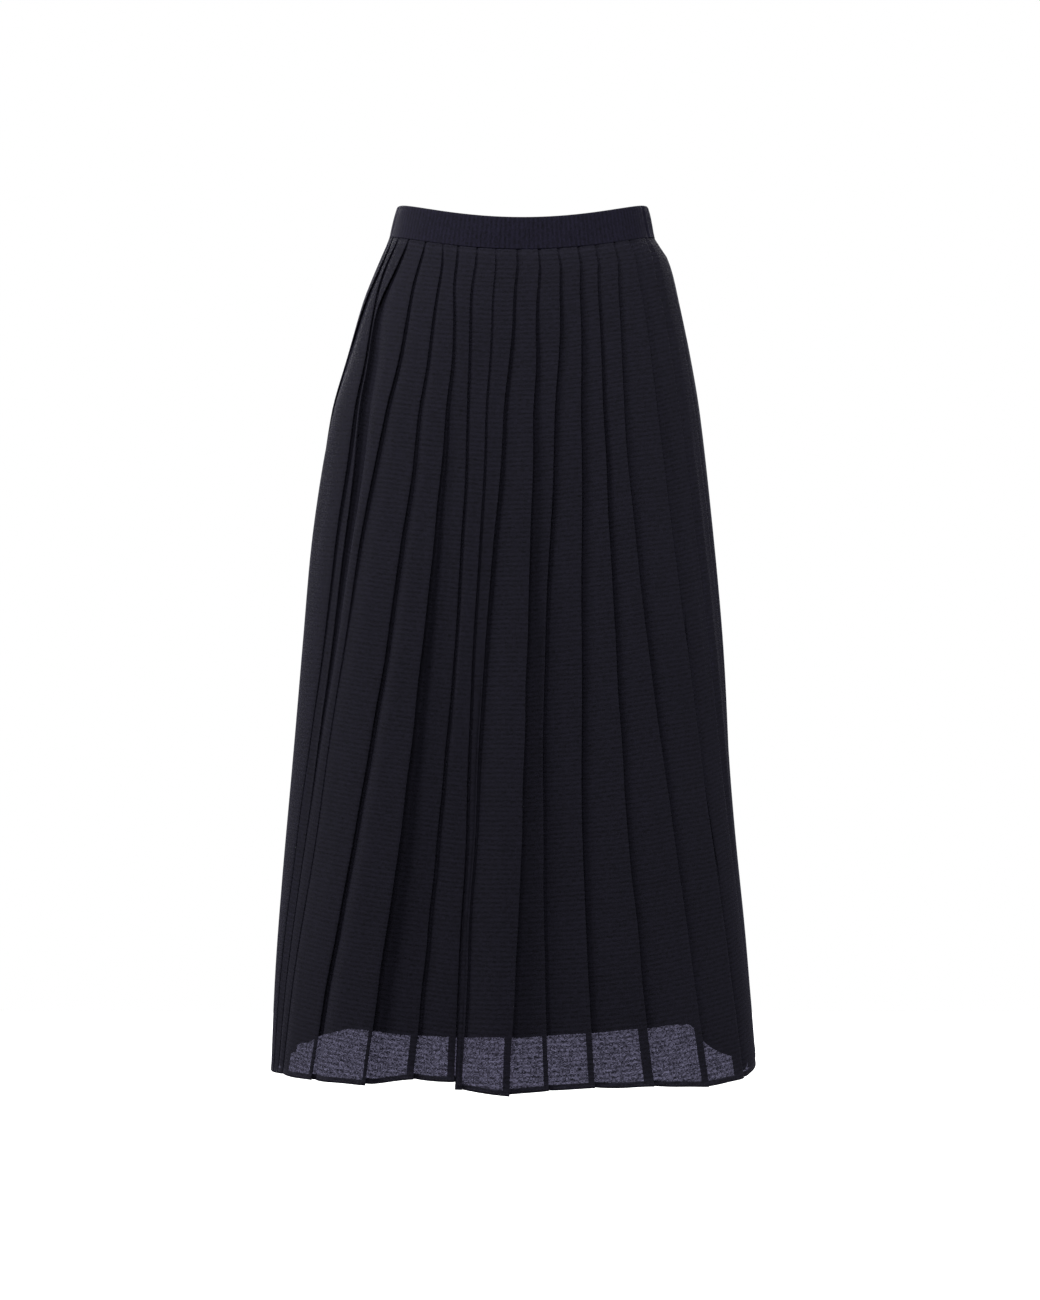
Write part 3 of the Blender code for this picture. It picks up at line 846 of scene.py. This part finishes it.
crepe = {
    "colour": (0.0137, 0.0129, 0.0211),
    "bandColour": (0.0098, 0.0087, 0.0190),
    "dark": 0.25,  # of that colour, at the darkest and the palest threads
    "pale": 1.80,
    "ribSpacing": 4.4,  # mm
    "threads": (1.3, 0.95),  # mm, along and across a rib
    "slubs": (3.6, 1.1),
    "sway": (22, 30),  # patches a metre, along and across a rib, in how its line wavers
    "streaks": (330, 620),
    "clouds": (14, 9),
    "shows": 0.182,  # share of the light that passes one face of a layer
    "turnedShows": 0.08,  # of that, where the hem is turned
    "tint": (0.825, 0.806, 1.0, 1),  # of that light
    "roughness": 0.78,
    "sheen": 0.04,
}


def makeCrepe(name, colour, crossRibs, sheer):
    finish = Finish(name)
    place = finish.node("ShaderNodeUVMap", {"uv_map": "clothMap"})
    down = finish.node("ShaderNodeSeparateXYZ", None, {0: place}, "Y" if crossRibs else "X")
    turned = (lambda size: size) if crossRibs else (lambda size: size[::-1])
    threads = finish.cells(place, turned(crepe["threads"]))
    slubs = finish.cells(place, turned(crepe["slubs"]))
    sway = finish.noise(place, turned(crepe["sway"]), 2.0)
    turn = down * (math.tau / (crepe["ribSpacing"] * mm)) + sway * 4.0
    rib = finish.maths("SINE", turn) * 0.5 + 0.5
    soft = finish.noise(place, turned(crepe["streaks"]), 1.0)
    cloud = finish.noise(place, crepe["clouds"], 3.0)
    # From the darkest threads at 0 to the palest at 1.
    tone = threads * 0.46 + slubs * 0.24 + soft * 0.26 + rib * 0.26 + cloud * 0.16 - 0.19
    dark, pale = (
        (*(part * crepe[shade] for part in colour), 1) for shade in ("dark", "pale")
    )
    finish.set(
        Base_Color=finish.blend(tone, dark, pale),
        Roughness=crepe["roughness"] + threads * 0.1,
        Normal=finish.bump(rib * 0.5 + threads * 0.2 + slubs * 0.2, 0.0003, 0.3),
        Metallic=0.0, Sheen_Weight=crepe["sheen"], Sheen_Roughness=0.45,
        Sheen_Tint=(0.70, 0.66, 1.0, 1), Specular_IOR_Level=0.12,
    )
    if sheer:
        edge = finish.node("ShaderNodeAttribute", {"attribute_name": "toEdge"}, output="Fac")
        single = finish.smooth(edge, pleatSizes["turnedHem"] - 0.4, pleatSizes["turnedHem"] + 0.4)
        openness = threads + slubs * 0.2 + rib * 0.28 + soft * 0.3 + 0.10  # about 1 in the middle
        turnedShows = crepe["turnedShows"]
        passes = openness * crepe["shows"] * (single * (1 - turnedShows) + turnedShows)
        clear = finish.node("ShaderNodeBsdfTransparent", None, {"Color": crepe["tint"]})
        cloth = Number(finish, finish.shader.outputs[0])
        both = finish.node("ShaderNodeMixShader", None, {0: 1 - passes, 1: clear, 2: cloth})
        finish.put(finish.tree.nodes["Material Output"].inputs["Surface"], both)
    return finish.material


satin = {  # the lining's cloth
    "dark": (0.0045, 0.0045, 0.007, 1),
    "pale": (0.0085, 0.0083, 0.013, 1),
    "threads": (2400, 300),  # threads and patches a metre, across and down
    "clouds": (12, 8),
    "roughness": (0.46, 0.16),  # and how much the threads add
    "sheen": 0.04,
}


def makeLiningCloth():
    finish = Finish("liningCloth")
    place = finish.node("ShaderNodeUVMap", {"uv_map": "clothMap"})
    threads = finish.noise(place, satin["threads"], 2.0)
    cloud = finish.noise(place, satin["clouds"], 3.0)
    rough, more = satin["roughness"]
    finish.set(
        Base_Color=finish.blend(threads * 0.5 + cloud * 0.5, satin["dark"], satin["pale"]),
        Roughness=rough + threads * more, Normal=finish.bump(threads, 0.0002, 0.3),
        Metallic=0.0, Sheen_Weight=satin["sheen"], Specular_IOR_Level=0.25,
    )
    return finish.material


sewing = {  # the thread of the hem's stitches
    "dark": (0.012, 0.011, 0.018, 1),
    "pale": (0.024, 0.022, 0.034, 1),
    "twists": 2600.0,  # a metre
    "roughness": 0.6,
}


def makeThread():
    finish = Finish("sewingThread")
    place = finish.node("ShaderNodeTexCoord", output="Object")
    twist = finish.node("ShaderNodeTexNoise", None, {"Vector": place, "Scale": sewing["twists"]})
    finish.set(
        Base_Color=finish.blend(twist, sewing["dark"], sewing["pale"]),
        Roughness=sewing["roughness"], Metallic=0.0,
    )
    return finish.material


skirtCrepe = makeCrepe("pleatedCrepe", crepe["colour"], True, True)
bandCrepe = makeCrepe("bandCrepe", crepe["bandColour"], False, False)
liningCloth = makeLiningCloth()
thread = makeThread()
print("finishes made")

stitchSizes = {"spacing": 3.2, "length": 2.1, "radius": 0.16, "aboveEdge": 2.6, "lift": 0.02}


def stitchTree():  # small drawn-out balls along a line, each turned to lie along it
    tree = bpy.data.node_groups.new("hemStitches", "GeometryNodeTree")
    for label, kind in (
        ("Line", "Geometry"), ("Spacing", "Float"), ("Length", "Float"), ("Radius", "Float"),
        ("Thread", "Material"),
    ):
        tree.interface.new_socket(label, in_out="INPUT", socket_type="NodeSocket" + kind)
    tree.interface.new_socket("Stitches", in_out="OUTPUT", socket_type="NodeSocketGeometry")
    add = tree.nodes.new
    given, result = add("NodeGroupInput"), add("NodeGroupOutput")
    curve, spaced = add("GeometryNodeMeshToCurve"), add("GeometryNodeResampleCurve")
    spaced.mode = "LENGTH"
    ball, shape = add("GeometryNodeMeshUVSphere"), add("GeometryNodeTransform")
    for label, value in (("Segments", 6), ("Rings", 4), ("Radius", 0.5)):
        ball.inputs[label].default_value = value
    width, size = add("ShaderNodeMath"), add("ShaderNodeCombineXYZ")
    width.operation = "MULTIPLY"
    width.inputs[1].default_value = 2.0
    tangent, turn = add("GeometryNodeInputTangent"), add("FunctionNodeAlignEulerToVector")
    turn.axis = "Z"
    placed = add("GeometryNodeInstanceOnPoints")
    real, coated = add("GeometryNodeRealizeInstances"), add("GeometryNodeSetMaterial")
    for source, output, target, entry in (
        (given, "Line", curve, "Mesh"),
        (curve, "Curve", spaced, "Curve"),
        (given, "Spacing", spaced, "Length"),
        (given, "Radius", width, 0),
        (width, 0, size, "X"),
        (width, 0, size, "Y"),
        (given, "Length", size, "Z"),
        (ball, "Mesh", shape, "Geometry"),
        (size, "Vector", shape, "Scale"),
        (tangent, "Tangent", turn, "Vector"),
        (spaced, "Curve", placed, "Points"),
        (shape, "Geometry", placed, "Instance"),
        (turn, "Rotation", placed, "Rotation"),
        (placed, "Instances", real, "Geometry"),
        (real, "Geometry", coated, "Geometry"),
        (given, "Thread", coated, "Material"),
        (coated, "Geometry", result, "Stitches"),
    ):
        tree.links.new(source.outputs[output], target.inputs[entry])
    return tree


stitches = stitchTree()


def sewLine(name, points):
    path = bpy.data.meshes.new(name + "Path")
    edges = [(index, index + 1) for index in range(len(points) - 1)]
    path.from_pydata((points * mm).tolist(), edges, [])
    carrier = addObject(name + "Path", path)
    modifier = carrier.modifiers.new("stitches", "NODES")
    modifier.node_group = stitches
    sockets = {item.name: item.identifier for item in stitches.interface.items_tree}
    for label in ("Spacing", "Length", "Radius"):
        modifier[sockets[label]] = stitchSizes[label.lower()] * mm
    modifier[sockets["Thread"]] = thread
    ready = carrier.evaluated_get(bpy.context.evaluated_depsgraph_get())
    mesh = bpy.data.meshes.new_from_object(ready)
    mesh.name = name
    carrier.modifiers.remove(modifier)
    bpy.data.objects.remove(carrier, do_unlink=True)
    bpy.data.meshes.remove(path)
    return addObject(name, mesh)


def hemLine(grid):  # a line on the outside of the cloth, just above its edge
    above = np.array(rowLevels()) - form["hem"]
    row = int(np.argmin(np.abs(above - stitchSizes["aboveEdge"])))
    line = grid[row]
    normal = np.cross(np.gradient(grid, axis=0)[row], np.gradient(line, axis=0))
    normal /= np.linalg.norm(normal, axis=1, keepdims=True)
    return line + normal * (pleatSizes["turnedHemCloth"] / 2 + stitchSizes["lift"])


frontCount, allCount = len(frontFolds), len(allFolds)
frontArc = (form["leftSeam"] - 360, form["rightSeam"])
backArc = (form["rightSeam"], form["leftSeam"])
frontPanel, frontGrid = makeSkirtPanel("frontSkirtPanel", 0, frontCount, skirtCrepe)
backPanel, backGrid = makeSkirtPanel("backSkirtPanel", frontCount, allCount, skirtCrepe)
frontBand = makeBand(
    "frontWaistband", *frontArc, bandSizes["frontColumns"], smoothBand, bandCrepe
)
backBand = makeBand("backWaistband", *backArc, bandSizes["backColumns"], puckered, bandCrepe)
frontLining = makeLining("frontLining", *frontArc, liningCloth)
backLining = makeLining("backLining", *backArc, liningCloth)
frontHemStitches = sewLine("frontHemStitches", hemLine(frontGrid))
backHemStitches = sewLine("backHemStitches", hemLine(backGrid))
print("stitches made")

for piece, node, slot in (
    (frontPanel, "front_skirt_panel", "pleated_crepe"),
    (backPanel, "back_skirt_panel", "pleated_crepe"),
    (frontBand, "front_waistband", "band_crepe"),
    (backBand, "back_waistband", "band_crepe"),
    (frontLining, "front_lining", "lining_cloth"),
    (backLining, "back_lining", "lining_cloth"),
):
    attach(piece, "root")
    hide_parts(node)
for piece in (frontHemStitches, backHemStitches):
    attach(piece, "root")

studio = {  # in metres
    "floor": -1.05,  # where the wearer would stand
    "floorReach": 3.0,
    "air": 0.03,  # how much the room's white lights the cloth
    "aim": (0, 0, -0.42),
    "lights": (  # name, bearing, height, distance, width, height of its face, watts
        ("frontTopLight", 0, 2.4, 3.0, 1.6, 1.0, 91),
        ("leftTopLight", -60, 2.4, 3.0, 1.6, 1.0, 73),
        ("leftSideLight", -95, 0.5, 3.0, 1.1, 1.8, 30),
        ("leftRimLight", -120, 0.5, 3.0, 1.1, 1.8, 9),
        ("rightFrontLight", 65, 0.5, 3.0, 1.1, 1.8, 28),
        ("rightSideLight", 88, 0.5, 3.0, 1.1, 1.8, 12),
        ("backLeftLight", -155, 1.2, 3.0, 1.4, 1.6, 45),
        ("backRightLight", 155, 1.2, 3.0, 1.4, 1.6, 35),
    ),
    "cameraDistance": 3.5,
    "cameraHeight": -0.4105,
    "cameraReach": 0.6175,  # half the height that it sees at the skirt's middle
}


def makeWorld():  # white to the camera, and dim to the cloth
    world = bpy.data.worlds.new("studioAir")
    bpy.context.scene.world = world
    world.use_nodes = True
    nodes, links = world.node_tree.nodes, world.node_tree.links
    seen, lit = nodes["Background"], nodes.new("ShaderNodeBackground")
    seen.inputs["Color"].default_value = (1, 1, 1, 1)
    lit.inputs["Color"].default_value = (studio["air"],) * 3 + (1,)
    path, either = nodes.new("ShaderNodeLightPath"), nodes.new("ShaderNodeMixShader")
    links.new(path.outputs["Is Camera Ray"], either.inputs[0])
    links.new(lit.outputs[0], either.inputs[1])
    links.new(seen.outputs[0], either.inputs[2])
    links.new(either.outputs[0], nodes["World Output"].inputs["Surface"])


def makeFloor():  # a white floor that is seen but doesn't colour the cloth
    reach, height = studio["floorReach"], studio["floor"]
    square = ((-1, -1), (1, -1), (1, 1), (-1, 1))
    corners = [(x * reach, y * reach, height) for x, y in square]
    mesh = bpy.data.meshes.new("studioFloor")
    mesh.from_pydata(corners, [], [(0, 1, 2, 3)])
    finish = Finish("studioFloor")
    finish.set(
        Roughness=1.0, Base_Color=(0.9, 0.9, 0.9, 1), Emission_Color=(1, 1, 1, 1),
        Emission_Strength=1.0,
    )
    mesh.materials.append(finish.material)
    floor = addObject("studioFloor", mesh)
    floor.visible_diffuse = False
    floor.visible_glossy = False


def addLight(name, bearing, height, distance, width, tall, watts):
    light = bpy.data.lights.new(name, "AREA")
    light.shape = "RECTANGLE"
    light.size, light.size_y, light.energy = width, tall, watts
    lamp = addObject(name, light)
    angle = math.radians(bearing)
    lamp.location = (distance * math.sin(angle), -distance * math.cos(angle), height)
    towards = Vector(studio["aim"]) - lamp.location
    lamp.rotation_euler = towards.to_track_quat("-Z", "Y").to_euler()
    lamp.visible_camera = False


def addCamera():
    camera = bpy.data.cameras.new("studioCamera")
    slope = studio["cameraReach"] / studio["cameraDistance"]
    camera.lens = camera.sensor_width / 2 / slope
    holder = addObject("studioCamera", camera)
    holder.location = (0, -studio["cameraDistance"], studio["cameraHeight"])
    holder.rotation_euler = (math.radians(90), 0, 0)
    bpy.context.scene.camera = holder


makeWorld()
makeFloor()
for row in studio["lights"]:
    addLight(*row)
addCamera()
scene = bpy.context.scene
scene.view_settings.view_transform = "Standard"
scene.cycles.transparent_max_bounces = 64  # light passes through many layers of crepe
print("studio ready")
